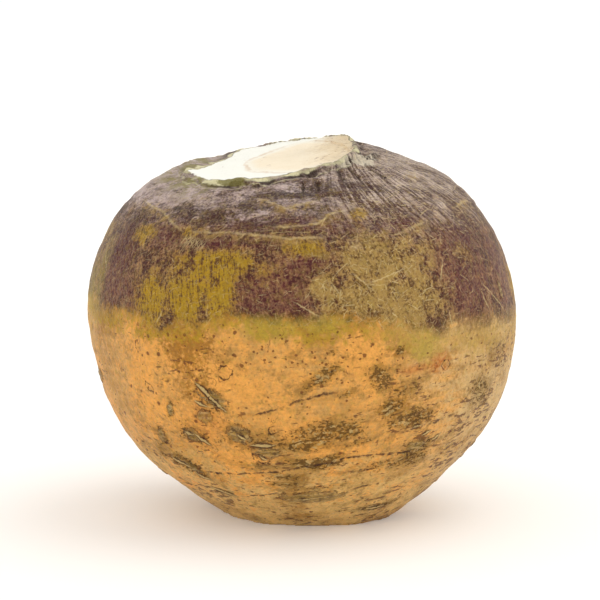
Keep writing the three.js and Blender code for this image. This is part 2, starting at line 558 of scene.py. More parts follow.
# ---------- Growing the skin ----------
def merged_copy(node):
    """A closed, welded copy of a CAD node's mesh, in an object that is never shown."""
    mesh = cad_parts[node].data.copy()
    copy = bpy.data.objects.new("welded", mesh)
    work = bmesh.new()
    work.from_mesh(mesh)
    bmesh.ops.remove_doubles(work, verts=work.verts, dist=WELD * MM)
    work.to_mesh(mesh)
    work.free()
    bpy.context.scene.collection.objects.link(copy)
    return copy


def new_tree(name, inputs):
    """An empty Geometry Nodes tree with named inputs; returns it, its bench and their wires."""
    tree = bpy.data.node_groups.new(name, "GeometryNodeTree")
    faces = tree.interface
    faces.new_socket("Geometry", in_out="OUTPUT", socket_type="NodeSocketGeometry")
    faces.new_socket("Geometry", in_out="INPUT", socket_type="NodeSocketGeometry")
    for label, kind in inputs.items():
        faces.new_socket(label, in_out="INPUT", socket_type="NodeSocket" + kind)
    bench = Bench(tree)
    entry = tree.nodes.new("NodeGroupInput")
    wires = {socket.name: Wire(bench, socket) for socket in entry.outputs if socket.name}
    return tree, bench, wires


def end_tree(bench, geometry, material):
    """Closes a tree with real geometry and its material."""
    real = bench.node("GeometryNodeRealizeInstances", None, [geometry])
    coated = bench.node("GeometryNodeSetMaterial", None, {"Geometry": real, "Material": material})
    bench.node("NodeGroupOutput", None, [coated])


def run_tree(piece, tree, values):
    """Runs a tree on a piece with its inputs set, and leaves the result as a plain mesh."""
    modifier = piece.modifiers.new(tree.name, "NODES")
    modifier.node_group = tree
    sockets = {
        item.name: item.identifier for item in tree.interface.items_tree if item.in_out == "INPUT"
    }
    for label, value in values.items():
        modifier[sockets[label]] = value
    graph = bpy.context.evaluated_depsgraph_get()
    plain = bpy.data.meshes.new_from_object(piece.evaluated_get(graph), depsgraph=graph)
    piece.modifiers.remove(modifier)
    piece.data = plain


def skin_tree(material):
    """A cube blown up to a ball whose every point is then let down onto the solid."""
    inputs = {"Solid": "Object", "Heart": "Vector", "Reach": "Float", "Points": "Int"}
    tree, bench, given = new_tree("grown skin", inputs)
    count = given["Points"]
    cube_values = {"Size": (2, 2, 2), "Vertices X": count, "Vertices Y": count, "Vertices Z": count}
    cube = bench.node("GeometryNodeMeshCube", None, cube_values)
    place = bench.node("GeometryNodeInputPosition")
    stored = bench.node(
        "GeometryNodeStoreNamedAttribute",
        {"data_type": "FLOAT_VECTOR", "domain": "POINT"},
        {"Geometry": cube, "Name": "cube", "Value": place},
    )
    angle = bench.times(place, math.pi / 4)
    outward = bench.vector("NORMALIZE", bench.vector("TANGENT", angle))
    solid = bench.node(
        "GeometryNodeObjectInfo",
        {"transform_space": "ORIGINAL"},
        {"Object": given["Solid"]},
        "Geometry",
    )
    start = bench.vector("ADD", given["Heart"], bench.times(outward, given["Reach"]))
    ray = {
        "Target Geometry": solid,
        "Source Position": start,
        "Ray Direction": bench.times(outward, -1.0),
        "Ray Length": given["Reach"],
    }
    met = bench.node("GeometryNodeRaycast", None, ray, "Hit Position")
    grown = bench.node("GeometryNodeSetPosition", None, {"Geometry": stored, "Position": met})
    smooth = bench.node("GeometryNodeSetShadeSmooth", None, {"Geometry": grown})
    end_tree(bench, smooth, material)
    return tree


def cut_level(x, y):
    """Height of the knife cut over a point."""
    x = x - CUT_SHIFT[0]
    y = y - CUT_SHIFT[1]
    start, end = CUT_CURL_REACH
    curl = np.clip((-x - start) / (end - start), 0, 1)
    curl = curl * curl * (3 - 2 * curl)
    plane = CUT_HEIGHT + CUT_FALL_LEFT * x + CUT_FALL_FRONT * y
    return plane + CUT_TWIST * x * y + CUT_CURL * curl


def read_points(mesh, name):
    """A mesh's positions, or another of its vectors, with one row for each point."""
    values = np.empty(len(mesh.vertices) * 3)
    mesh.attributes[name].data.foreach_get("vector", values)
    return values.reshape(-1, 3)


def around(values, edges):
    """For each point the sum of its neighbours' values."""
    first, second = edges.T
    count = len(values)
    return np.bincount(first, values[second], count) + np.bincount(second, values[first], count)


def melt(values, loose, edges, rounds):
    """Averages the values of loose points with their loose neighbours, round after round."""
    crowd = around(loose.astype(float), edges)
    for _ in range(rounds):
        blended = (values + around(values * loose, edges)) / (1 + crowd)
        values = np.where(loose, blended, values)
    return values


def spread(values, known, edges, rounds):
    """Carries known values outwards over the points that have none."""
    values = np.where(known, values, 0.0)
    have = known.astype(float)
    for _ in range(rounds):
        crowd = around(have, edges)
        reached = (crowd > 0) & ~known
        mean = around(values * have, edges) / np.maximum(crowd, 1)
        values = np.where(reached, mean, values)
        have = np.where(reached, 1.0, have)
    return values


def cut_radius(outward):
    """How far from the heart each upward direction meets the knife cut; the others never do."""
    least, first, most = CUT_RADII
    radius = np.full(len(outward), float(first))
    for _ in range(CUT_TRIES):
        x, y, z = (outward * radius[:, None] + HEART).T
        slope = outward[:, 2] - CUT_FALL_LEFT * outward[:, 0] - CUT_FALL_FRONT * outward[:, 1]
        radius = np.clip(radius - (z - cut_level(x, y)) / np.maximum(slope, GRAZING), least, most)
    return np.where(outward[:, 2] > CUT_UPWARD, radius, NEVER)


def refine(mesh):
    """Rounds the solid's facets off the skin and keeps both cuts crisp."""
    place = read_points(mesh, "position") / MM
    edges = np.empty(len(mesh.edges) * 2, dtype=np.int64)
    mesh.edges.foreach_get("vertices", edges)
    edges = edges.reshape(-1, 2)
    from_heart = place - HEART
    radius = np.linalg.norm(from_heart, axis=1)
    outward = from_heart / radius[:, None]
    x, y, z = place.T
    on_cut = (np.abs(z - cut_level(x, y)) < CUT_TOLERANCE) & (z > CUT_LOWEST)
    on_tail = z < TAIL_TOLERANCE
    skin = ~on_cut & ~on_tail
    melted = melt(radius, skin, edges, SMOOTHING)
    by_skin = spread(melted, skin, edges, CROWN_ROUNDS)
    by_skin = np.where(~on_tail & (by_skin > 0), by_skin, NEVER)
    by_cut = cut_radius(outward)
    downward = np.minimum(outward[:, 2], -GRAZING)
    by_tail = np.where(outward[:, 2] < -GRAZING, -HEART[2] / downward, NEVER)
    final = np.minimum(np.minimum(by_skin, by_cut), by_tail)
    place = outward * final[:, None] + HEART
    mesh.attributes["position"].data.foreach_set("vector", (place * MM).ravel())
    mesh.update()
    return place, final == by_cut


def bake_map(mesh):
    """Lays the cube's six sides flat, three by two, as the map that finishes are kept on."""
    cube = read_points(mesh, "cube")
    corners = np.empty(len(mesh.loops), dtype=np.int64)
    mesh.loops.foreach_get("vertex_index", corners)
    sides = cube[corners].reshape(-1, 4, 3)
    middle = sides.mean(axis=1)
    axis = np.abs(middle).argmax(axis=1)
    positive = np.take_along_axis(middle, axis[:, None], 1)[:, 0] > 0
    across = np.where(axis == 0, 1, 0)
    along = np.where(axis == 2, 1, 2)
    side = np.arange(len(sides))[:, None]
    corner = np.arange(4)
    flat = np.stack([sides[side, corner, way[:, None]] for way in (across, along)], 2)
    flat = (flat / 2) * MAP_SHARE + 0.5
    mirrored = np.where(axis == 1, positive, ~positive)
    flat[mirrored, :, 0] = 1 - flat[mirrored, :, 0]
    flat[:, :, 0] = (flat[:, :, 0] + axis[:, None]) / 3
    flat[:, :, 1] = (flat[:, :, 1] + positive[:, None]) / 2
    layer = mesh.uv_layers.new(name="OFBake")
    layer.data.foreach_set("uv", flat.ravel())


# ---------- Marks on the skin ----------
class Skin:
    """The skin's points, and the ways to find a place on it and to lay a mark there."""

    def __init__(self, mesh, place, on_cut):
        self.place = place
        normals = np.empty(len(mesh.vertices) * 3)
        mesh.vertex_normals.foreach_get("vector", normals)
        self.normal = normals.reshape(-1, 3)
        self.azimuth = np.degrees(np.arctan2(place[:, 0], -place[:, 1]))
        self.height = place[:, 2]
        self.on_cut = on_cut

    def spot(self, azimuth, height):
        """The point of the skin there, with the directions to its right, upwards and outwards."""
        turn = (self.azimuth - azimuth + 180) % 360 - 180
        away = np.radians(turn) * GIRTH
        gap = away**2 + (self.height - height) ** 2 + CUT_PENALTY * self.on_cut
        nearest = np.argmin(gap)
        outward = self.normal[nearest]
        bearing = math.radians(azimuth)
        level = np.array([math.sin(bearing), -math.cos(bearing), 0])
        reach = (self.place[nearest] @ outward - height * outward[2]) / max(level @ outward, GRAZING)
        centre = level * reach
        centre[2] = height
        if np.linalg.norm(centre - self.place[nearest]) > SPOT_SLACK:
            centre = self.place[nearest]
        right = np.cross((0, 0, 1), outward)
        right /= np.linalg.norm(right)
        return centre, right, np.cross(outward, right), outward

    def patch(self, azimuth, height, wide, tall, turn, soft):
        """An oval field: full inside, a half at its edge, nought at 1 + soft / 2 times its size."""
        centre, right, up, outward = self.spot(azimuth, height)
        slant = math.radians(turn)
        long_way = right * math.cos(slant) + up * math.sin(slant)
        short_way = up * math.cos(slant) - right * math.sin(slant)
        offset = self.place - centre
        size = np.hypot(offset @ long_way / (wide / 2), offset @ short_way / (tall / 2))
        size = np.where(self.normal @ outward > GRAZING, size, OUTSIDE)
        return np.clip(0.5 + (1 - size) / soft, 0, 1)

    def patches(self, marks, soft=1.0):
        """For each point the strongest of the patches that it lies in."""
        field = np.zeros(len(self.place))
        for *where, strength in marks:
            field = np.maximum(field, strength * self.patch(*where, soft))
        return field

    def slivers(self, marks):
        """Short straight routes, each about a place with a length and a turn."""
        routes = []
        for azimuth, height, length, turn in marks:
            centre = self.spot(azimuth, height)[0]
            slant = math.radians(turn)
            sideways = math.cos(slant) * length / 2
            half = math.degrees(sideways / math.hypot(centre[0], centre[1]))
            rise = math.sin(slant) * length / 2
            routes.append([(azimuth - half, height - rise), (azimuth + half, height + rise)])
        return routes

    def lines(self, routes, taper):
        """For each point its signed distance from the nearest route, and how present that is."""
        spots, sides, presence = [], [], []
        for route in routes:
            azimuths, heights = np.array(route, dtype=float).T
            steps = np.concatenate([[0], np.cumsum(np.hypot(np.diff(azimuths), np.diff(heights)))])
            finer = np.arange(0, steps[-1], LINE_STEP)
            stops = zip(np.interp(finer, steps, azimuths), np.interp(finer, steps, heights))
            points = [self.spot(azimuth, height) for azimuth, height in stops]
            trail = np.array([point[0] for point in points])
            way = np.gradient(trail, axis=0)
            way /= np.linalg.norm(way, axis=1)[:, None]
            gone = np.concatenate([[0], np.cumsum(np.linalg.norm(np.diff(trail, axis=0), axis=1))])
            near_end = np.minimum(gone, gone[-1] - gone)
            spots.append(trail)
            sides.append(np.cross([point[3] for point in points], way))
            presence.append(np.clip(near_end / min(taper, gone[-1] / 2), 0, 1))
        spots = np.concatenate(spots)
        sides = np.concatenate(sides)
        presence = np.concatenate(presence)
        signed = np.zeros(len(self.place))
        there = np.zeros(len(self.place))
        for part in np.array_split(np.arange(len(self.place)), LINE_BATCHES):
            here = self.place[part]
            square = (here**2).sum(1)[:, None] - 2 * here @ spots.T + (spots**2).sum(1)
            nearest = square.argmin(1)
            gap = np.sqrt(np.maximum(square[np.arange(len(part)), nearest], 0))
            across = ((here - spots[nearest]) * sides[nearest]).sum(1)
            far = np.sign(across + 1e-9) * LINE_FAR
            signed[part] = np.where(gap < LINE_NEAR, across, far)
            there[part] = presence[nearest] * np.clip((LINE_REACH - gap) / LINE_FADE, 0, 1)
        return signed, there


def sown(chance, kind):
    """Marks of one kind, sown round the sides and the back."""
    count, heights, widths, talls = WILD[kind]
    marks = []
    for _ in range(count):
        wide = chance.uniform(*widths)
        tall = min(chance.uniform(*talls), wide)
        turn = chance.normal(*WILD_TURN)
        spot = (chance.uniform(*WILD_SIDES), chance.uniform(*heights))
        marks.append((*spot, wide, tall, turn, chance.uniform(*WILD_STRENGTH)))
    return marks


def sown_slivers(chance, count, heights, lengths, turns):
    """Slivers of cork, sown round the sides and the back."""
    marks = []
    for _ in range(count):
        spot = (chance.uniform(*WILD_SIDES), chance.uniform(*heights))
        marks.append((*spot, chance.uniform(*lengths), chance.normal(*turns)))
    return marks


def sown_lines(chance, count, heights, length, rise, steps):
    """Routes that follow the growth rings round the sides and the back, with a slow wave each."""
    routes = []
    lift = math.tan(RING_TILT) * GIRTH
    for _ in range(count):
        start = chance.uniform(WILD_SIDES[0], WILD_SIDES[1] - length)
        height = chance.uniform(*heights)
        phase = chance.uniform(0, 2 * math.pi)
        route = []
        for step in range(steps + 1):
            azimuth = start + step * length / steps
            tilt = lift * (math.sin(math.radians(azimuth)) - math.sin(math.radians(start)))
            route.append((azimuth, height + tilt + rise * math.sin(phase + step * WILD_WAVE / steps)))
        routes.append(route)
    return routes


def keep(mesh, name, values):
    """Keeps one number for each point on the mesh."""
    field = mesh.attributes.new(name, "FLOAT", "POINT")
    field.data.foreach_set("value", values.astype(np.float32))


def lay_marks(mesh, place, on_cut):
    """Works out every mark's field over the skin and keeps it on the mesh for tree and shader."""
    skin = Skin(mesh, place, on_cut)
    chance = np.random.default_rng(SEED)
    kinds = {
        "purple": (PURPLE_PATCHES, 1.3),
        "gold": (GOLD_PATCHES, 1.4),
        "scratched": (SCRATCHED_PATCHES, 1.2),
        "brown": (BROWN_PATCHES, 1.0),
        "green": (GREEN_PATCHES, 1.0),
        "crust": (CRUSTS, 0.9),
        "scar": (SCARS, 1.2),
        "dusk": (DUSK_PATCHES, 1.0),
        "scurf": (SCURF, 1.0),
        "specks": (SPECK_PATCHES, 1.0),
    }
    for name, (marks, soft) in kinds.items():
        keep(mesh, name, skin.patches(marks + sown(chance, name), soft))
    for name, marks in {"bruise": BRUISES, "torn": TORN_PATCHES, "blush": BLUSH_PATCHES}.items():
        keep(mesh, name, skin.patches(marks))
    azimuths, heights = np.array(BOUNDARY, dtype=float).T
    keep(mesh, "above", skin.height - np.interp(skin.azimuth, azimuths, heights))
    scratches = LONG_SCRATCHES + skin.slivers(COMB)
    lines = {
        "arc": (LEAF_ARCS + sown_lines(chance, *WILD_ARCS), 5),
        "ring": (RING_LINES + sown_lines(chance, *WILD_RINGS), 4),
        "scratch": (scratches + sown_lines(chance, *WILD_SCRATCHES), 2),
        "crack": (CRACKS, 0.8),
        "sliver": (skin.slivers(SLIVERS + sown_slivers(chance, *WILD_SLIVERS)), 3.0),
    }
    for name, (routes, taper) in lines.items():
        signed, there = skin.lines(routes, taper)
        keep(mesh, name + "_off", signed)
        keep(mesh, name + "_on", there)
    keep(mesh, "rim", rim_distance(skin))


def rim_distance(skin):
    """How far each point lies inside the rim of the crown cut; negative on the skin."""
    on_cut = skin.on_cut
    middle = (skin.place[on_cut].min(0) + skin.place[on_cut].max(0))[:2] / 2
    offset = skin.place[:, :2] - middle
    far = np.hypot(*offset.T)
    turn = np.degrees(np.arctan2(offset[:, 1], offset[:, 0]))
    sectors = np.arange(-180, 180, RIM_SECTOR) + RIM_SECTOR / 2
    half = RIM_SECTOR / 2 + RIM_OVERLAP
    reach = [far[on_cut & (np.abs(turn - sector) <= half)].max() for sector in sectors]
    reach = sum(np.roll(reach, k - 2) * share for k, share in enumerate(RIM_BLUR))
    sectors = np.concatenate([sectors[-1:] - 360, sectors, sectors[:1] + 360])
    reach = np.concatenate([reach[-1:], reach, reach[:1]])
    rim = np.interp(turn, sectors, reach)
    return np.where(skin.height > RIM_LOWEST, rim - far, RIM_UNSEEN)


# ---------- Relief ----------
def relief_tree(material):
    """Raises and sinks the skin along its normals: swells, crusts, scurf, scars and cracks."""
    tree, bench, given = new_tree("skin relief", {label: "Float" for label in RELIEF})

    def mark(name):
        return bench.node("GeometryNodeInputNamedAttribute", {"data_type": "FLOAT"}, {"Name": name})

    def line(name, full, gone):
        return bench.near(mark(name + "_off"), full, gone) * mark(name + "_on")

    where = bench.times(bench.node("GeometryNodeInputPosition"), 1 / MM)
    x, y, z = bench.parts(where)
    level = bench.join(x * 0.35, y * 0.35, z - x * math.tan(RING_TILT))
    swell = bench.noise(where, 15, 1.0) + bench.noise(level, 3.4, 2.0, seed=2) * 0.35
    grain = bench.noise(where, 3.2, 2.0, seed=3)
    rim = mark("rim")
    skin_share = bench.fall(rim, -0.4, 0.8)
    wander = bench.noise(where, 7, 2.0, seed=7)
    left_end = bench.fall(x, -31, -24)
    lip = bench.near(rim + 0.4, 0.0, 1.6) * bench.kept(0.5 + wander * 0.8) * (1 - left_end * 2.4)
    groove = bench.near(rim + 3.0 + wander, 0.4, 2.2) * bench.kept(0.6 + wander * 0.7)
    ledges = bench.join(x * 0.16, y * 0.16, z)
    ledge = bench.noise(ledges, 2.6, 2.0, 0.55, seed=8) * bench.rise(z, 84, 92)
    torn = mark("torn") * bench.noise(where, 2.0, 2.0, 0.6, seed=9)
    tail_share = bench.rise(z, 0.2, TAIL_CLEAR)
    crust = bench.rise(mark("crust") + grain * 0.12, 0.42, 0.6)
    moat = bench.near(mark("crust") - 0.32, 0.05, 0.2)
    scurf = mark("scurf") * grain
    arc = line("arc", 0.2, 1.5)
    ring = line("ring", 0.1, 1.1)
    crack = line("crack", 0.1, 1.0)
    sliver = line("sliver", 0.2, 1.2)
    raised = given["Crust"] * (crust - moat * 0.5 + scurf * 0.5 + arc * 0.9 + sliver - ring * 0.8)
    crown = given["Lip"] * (lip - groove * 1.2 + ledge * 0.35 + torn * 1.6)
    skin = given["Swell"] * swell + given["Grain"] * grain + raised + crown - given["Crack"] * crack
    flesh = bench.noise(where, 5, 2.0, seed=5) * 0.12 + bench.noise(level, 1.8, 1.0, seed=6) * 0.05
    height = (skin * skin_share + flesh * (1 - skin_share)) * tail_share
    normal = bench.node("GeometryNodeInputNormal")
    offset = bench.times(normal, height * MM)
    values = {"Geometry": given["Geometry"], "Offset": offset}
    end_tree(bench, bench.node("GeometryNodeSetPosition", None, values), material)
    return tree


# ---------- The finish of the root ----------
def new_material(name):
    """An empty material, and the bench that it is built on."""
    material = bpy.data.materials.new(name)
    material.use_nodes = True
    material.node_tree.nodes.clear()
    return material, Bench(material.node_tree)


class Surface:
    """The places, marks and patterns that the finish is worked out from, in millimetres."""

    def __init__(self, bench):
        self.bench = bench
        object_place = bench.node("ShaderNodeTexCoord", None, None, "Object")
        self.where = bench.times(object_place, 1 / MM)
        self.x, self.y, self.z = bench.parts(self.where)
        self.outward = bench.node("ShaderNodeNewGeometry", None, None, "Normal")
        self.level = self.z - self.x * math.tan(RING_TILT)
        self.fine = self.noise(0.9, 2.0, 0.6, seed=31)
        self.rough = self.noise(2.2, 3.0, 0.6, seed=32)

    def noise(self, size, detail=2.0, roughness=0.5, seed=0):
        return self.bench.noise(self.where, size, detail, roughness, seed)

    def mark(self, name):
        return self.bench.node("ShaderNodeAttribute", {"attribute_name": name}, None, "Fac")

    def line(self, name, wander, full, gone):
        """A kept line: full to one distance from its middle, and gone at another."""
        across = self.mark(name + "_off") + wander
        return self.bench.near(across, full, gone) * self.mark(name + "_on")

    def drawn(self, share, height=None):
        """Space in which noise is drawn out sideways, along the growth rings if no height is given."""
        height = self.level if height is None else height
        return self.bench.join(self.x * share, self.y * share, height)

    def meridians(self, slant, height_share):
        """Space in which noise becomes streaks that run from crown to tail, turned by slant."""
        bench = self.bench
        settings = {"rotation_type": "Z_AXIS"}
        turned = bench.node(
            "ShaderNodeVectorRotate", settings, {"Vector": self.where, "Angle": self.z * slant}
        )
        x, y, _ = bench.parts(turned)
        level_way = bench.vector("NORMALIZE", bench.join(x, y, 0.0))
        x, y, _ = bench.parts(bench.times(level_way, GIRTH))
        return bench.join(x, y, self.z * height_share)

    def swirl(self):
        """Space in which noise becomes lines that run out from near the stub of leaf stalks."""
        bench = self.bench
        turn = bench.maths("ARCTAN2", self.y - SWIRL_AT[1], self.x - SWIRL_AT[0])
        turn = turn - (CUT_HEIGHT - self.z) * SWIRL_TWIST
        return bench.join(turn * SWIRL_REACH, self.z * 0.12, 0.0)

    def strokes(self, cell, width, length, share, seed):
        """Short straight scratches, one at random in each cell, lying on the skin."""
        bench = self.bench
        moved = bench.vector("ADD", self.where, (seed * 13.1, seed * 7.7, seed * 5.3))
        scaled = bench.times(moved, 1 / cell)
        values = {"Vector": scaled, "Scale": 1.0}
        cells = bench.node("ShaderNodeTexVoronoi", {"feature": "F1"}, values, "Color")
        centre = Wire(bench, cells.socket.node.outputs["Position"])
        offset = bench.vector("SUBTRACT", scaled, centre)
        pick = bench.vector("SUBTRACT", cells, (0.5, 0.5, 0.5))
        way = bench.vector("NORMALIZE", bench.vector("CROSS_PRODUCT", self.outward, pick))
        side = bench.vector("CROSS_PRODUCT", self.outward, way)
        across = abs(bench.dot(offset, side)) * cell
        along = abs(bench.dot(offset, way)) * cell
        picks = bench.parts(cells)
        chosen = bench.fall(picks[0], share - 0.05, share + 0.05) * (0.3 + picks[1] * 0.7)
        thin = bench.fall(across, width * 0.35, width)
        reach = length * (0.2 + picks[2] * 0.3)
        return thin * bench.fall(along - reach, -0.4, 0.0) * chosen

    def hairs(self, size, width, seed):
        """Curling hair lines, where a noise crosses its middle."""
        return self.bench.near(self.noise(size, 1.0, seed=seed), 0.0, width)

    def specks(self, size, reach, share, seed):
        """Lenticels: one dark dot at most in each cell of the given size."""
        bench = self.bench
        moved = bench.vector("ADD", self.where, (seed * 3.1, seed * 5.7, seed * 2.3))
        values = {"Vector": bench.times(moved, 1 / size), "Scale": 1.0}
        cells = bench.node("ShaderNodeTexVoronoi", {"feature": "F1"}, values, "Distance")
        pick = bench.parts(Wire(bench, cells.socket.node.outputs["Color"]))
        ragged = self.noise(size * 0.45, 1.0, seed=seed)
        dot = reach * (0.35 + pick[1] * 0.65)
        chosen = bench.fall(pick[0] - self.mark("specks") * 0.45, share, share + 0.06)
        return bench.fall(cells * size + ragged * reach * 0.3, dot * 0.6, dot) * chosen


def lower_skin(surface):
    """Orange flank: tan mottling, brown streaks along the rings; towards the tail a paler tan that is partly
    painted bounce light, and deeper orange as painted shade.
    """
    bench = surface.bench
    cloud = surface.noise(17, 2.0, seed=1)
    mottle = surface.noise(4.0, 4.0, 0.62, seed=2)
    grain = surface.noise(1.1, 2.0, 0.6, seed=4)
    streak = bench.noise(surface.drawn(0.09), 1.7, 3.0, 0.6, seed=3)
    pattern = cloud * 0.45 + mottle * 0.4 + grain * 0.25
    flank = bench.rise(abs(surface.x + 2.0), 30, 54)
    low = bench.fall(surface.z, 4, 36)
    scaly = bench.most(surface.mark("scurf"), surface.mark("crust"))
    right = bench.rise(surface.x + cloud * 8, 16, 50)
    dusty = bench.mosaic(right * 0.75, pattern * -0.6 + streak * 0.3) * bench.rise(right, 0.0, 0.35)
    # Towards the tail the deep orange thickens, as painted shade.
    deep = bench.mosaic(0.22 + low * 0.12, streak * 0.24 + mottle * 0.3 + cloud * 0.55)
    veil = bench.noise(surface.drawn(0.65), 5.0, 4.0, 0.65, seed=7)
    veil_share = 0.15 + scaly * 0.4 + low * 0.12 + right * 0.12
    brown = bench.mosaic(surface.mark("brown") * 0.78, mottle * 0.45 + grain * 0.5)
    dashes = bench.noise(surface.drawn(0.3), 0.95, 2.0, 0.6, seed=5)
    dashes = dashes + surface.noise(12, 1.0, seed=6) * 0.4
    return bench.coats(
        ORANGE,
        (bench.mosaic(0.4 + flank * 0.2, pattern), TAN),
        # Painted light: paler tan towards the tail, where light bounces up from the floor.
        (bench.mosaic(low * 0.9, pattern), LOW_TAN_AND_BOUNCE_LIGHT),
        (dusty, DUSTY_TAN),
        (deep * 0.62, DEEP_ORANGE),
        (bench.mosaic(veil_share, veil * 0.75 + grain * 0.35) * 0.55, OLIVE_VEIL),
        (brown * 0.85, BROWN_GOLD),
        (bench.rise(dashes + low * 0.3 + right * 0.4 + scaly * 0.3, 0.8, 1.2) * 0.75, DASH_BROWN),
        (surface.mark("blush") * (0.6 + grain * 0.3), BLUSH),
    )


def shoulder_patterns(surface):
    """The noises that the shoulder's colours share: cloud, ragged, grain, fibre and smear."""
    bench = surface.bench
    return (
        surface.noise(9, 3.0, 0.55, seed=11),
        surface.noise(3.4, 4.0, 0.65, seed=17),
        surface.noise(0.75, 3.0, 0.7, seed=12),
        bench.noise(surface.meridians(0.004, 0.18), 0.6, 3.0, 0.62, seed=13),
        bench.noise(surface.drawn(0.28), 1.5, 3.0, 0.62, seed=14),
    )


def patched_skin(surface, patterns):
    """Purple skin worn to tan, with gold and scratched olive patches; returns it and the gold."""
    bench = surface.bench
    cloud, ragged, grain, fibre, smear = patterns
    soft = ragged * 0.3 + cloud * 0.22 + grain * 0.12
    gold = bench.rise(surface.mark("gold") + soft, 0.15, 0.95)
    olive = bench.rise(surface.mark("scratched") + soft, 0.15, 0.9)
    purple = bench.rise(surface.mark("purple") + soft, 0.2, 0.9)
    light = bench.coats(WORN_TAN, (purple * 0.6, WORN_MAROON), (gold, MUSTARD), (olive, OLIVE))
    dark = bench.coats(BROWN_PURPLE, (purple, MAROON), (gold * 0.9, MUSTARD_DARK), (olive * 0.9, OLIVE_BROWN))
    worn = 0.4 + bench.most(gold * 0.25, olive * 0.24) - surface.mark("dusk") * 0.12
    fuzz = grain * 0.42 + fibre * (0.24 + gold * 0.26) + ragged * 0.32 + smear * 0.14 + cloud * 0.12
    flecks = bench.mosaic(worn, fuzz * (1.35 - purple * 0.45))
    darkest = bench.rise(purple + ragged * 0.4, 0.9, 1.5) * 0.4
    return bench.coats(dark, (flecks, light), (darkest, DARK_PURPLE)), gold


def upper_skin(surface):
    """Purple shoulder: patched skin under a grey-lilac bloom, partly painted sheen, that thickens towards the
    crown.
    """
    bench = surface.bench
    patterns = shoulder_patterns(surface)
    cloud, ragged, grain, fibre, smear = patterns
    skin, gold = patched_skin(surface, patterns)
    height = surface.z + cloud * 3 + smear * 2.4 + fibre
    right = bench.rise(surface.x, -2, 16) * bench.fall(surface.y, 0, 24)
    # Painted highlight: the bloom is paler and thicker on the upper left shoulder, where the light falls.
    painted_left_highlight = bench.fall(surface.x, -44, -8) * bench.rise(surface.z, 88, 95)
    # Painted shade in thin dark lines along the shoulder's ledges, and a painted highlight on the crest
    # beside each.
    ledge = bench.noise(surface.drawn(0.2, surface.z + cloud * 1.5), 2.4, 2.0, 0.5, seed=19)
    ledged = 1 - right * 0.35
    groove = bench.near(ledge - 0.1, 0.03, 0.22) * bench.kept(0.4 + ragged * 0.8) * ledged
    painted_crest_highlight = bench.near(ledge - 0.42, 0.03, 0.3) * ledged
    dusk = bench.noise(surface.drawn(0.3, surface.z), 3.4, 3.0, 0.6, seed=16)
    lilac = 0.4 + painted_left_highlight * 0.34 + right * 0.05 - surface.mark("dusk") * 0.4 + painted_crest_highlight * 0.22
    lines = bench.noise(surface.swirl(), 0.75, 4.0, 0.7, seed=18) * right
    flow = grain * 0.36 + dusk * 0.3 + smear * 0.22 * (1 - right) + lines * 0.95
    pale = bench.blend(right * 0.6, LILAC, LILAC_TAN)
    shade = bench.blend(right * 0.45, SLATE_DARK, MAROON)
    # The bloom's pale lilac is partly painted sheen.
    bloom_and_painted_sheen = bench.coats(shade, (bench.mosaic(lilac, flow), pale), (0.24, SLATE))
    thickness = 0.8 + painted_left_highlight * 0.15 + right * 0.1 + dusk * 0.25 + grain * 0.2
    bloom_and_sheen_share = (1 - gold * 0.7) * bench.kept(bench.rise(height, 81, 99) * thickness)
    painted_groove_shade = groove * bench.rise(height, 78, 88)
    return bench.coats(skin, (bloom_and_sheen_share, bloom_and_painted_sheen), (painted_groove_shade * 0.7, SLATE_DARK))


def boundary_skin(surface, lower, upper):
    """Upper over lower, with the yellow-green line where they meet."""
    bench = surface.bench
    grain = surface.noise(1.5, 3.0, 0.65, seed=21)
    cloud = surface.noise(8, 3.0, 0.6, seed=22)
    above = surface.mark("above") + grain * 1.8 + cloud * 2.4
    side = bench.rise(surface.x, 8, 40)
    band = bench.near(above + 1.4 + side, 0.4, 4.6 + side * 3)
    band = band * bench.kept(0.92 + cloud * 0.35 + grain * 0.25 - side * 0.2)
    flecks = bench.mosaic(0.68, grain * 0.6)
    mixed = bench.coats(YELLOW_BROWN, (flecks, YELLOW_GREEN), (side * 0.7, OLIVE_TAN))
    green = bench.kept(surface.mark("green") + grain * 0.4)
    covered = bench.rise(above, -1.5, 1.5)
    return bench.coats(lower, (covered, upper), (band * 0.85, mixed), (green * 0.55, GREEN))


def lenticels(surface, below):
    """Brown dots of two sizes, under the purple only."""
    large, small = (surface.specks(*kind, seed) for seed, kind in enumerate(LENTICELS, 1))
    return surface.bench.most(large, small) * below


def brown_curls(surface, below):
    """Curled brown marks among the lenticels."""
    crowded = surface.bench.rise(surface.noise(3.4, 2.0, 0.5, seed=38), 0.45, 0.75)
    return surface.hairs(3.6, 0.1, 39) * crowded * below


def scurf_nets(surface):
    """The scurf's haze, the pale meshes in its net, and the dark net."""
    bench = surface.bench
    fine = surface.fine
    net = bench.near(bench.noise(surface.drawn(0.45), 1.7, 3.0, 0.6, seed=33), 0.05, 0.5)
    scurf = surface.mark("scurf") + surface.rough * 0.2
    haze = bench.rise(scurf + fine * 0.12, 0.1, 0.9)
    pale = bench.rise(scurf * 0.7 - net * 0.7 + fine * 0.3, 0.45, 0.8)
    dark = bench.rise(scurf * 0.55 + net * 0.45 + fine * 0.34, 0.68, 0.98)
    return haze, pale, dark


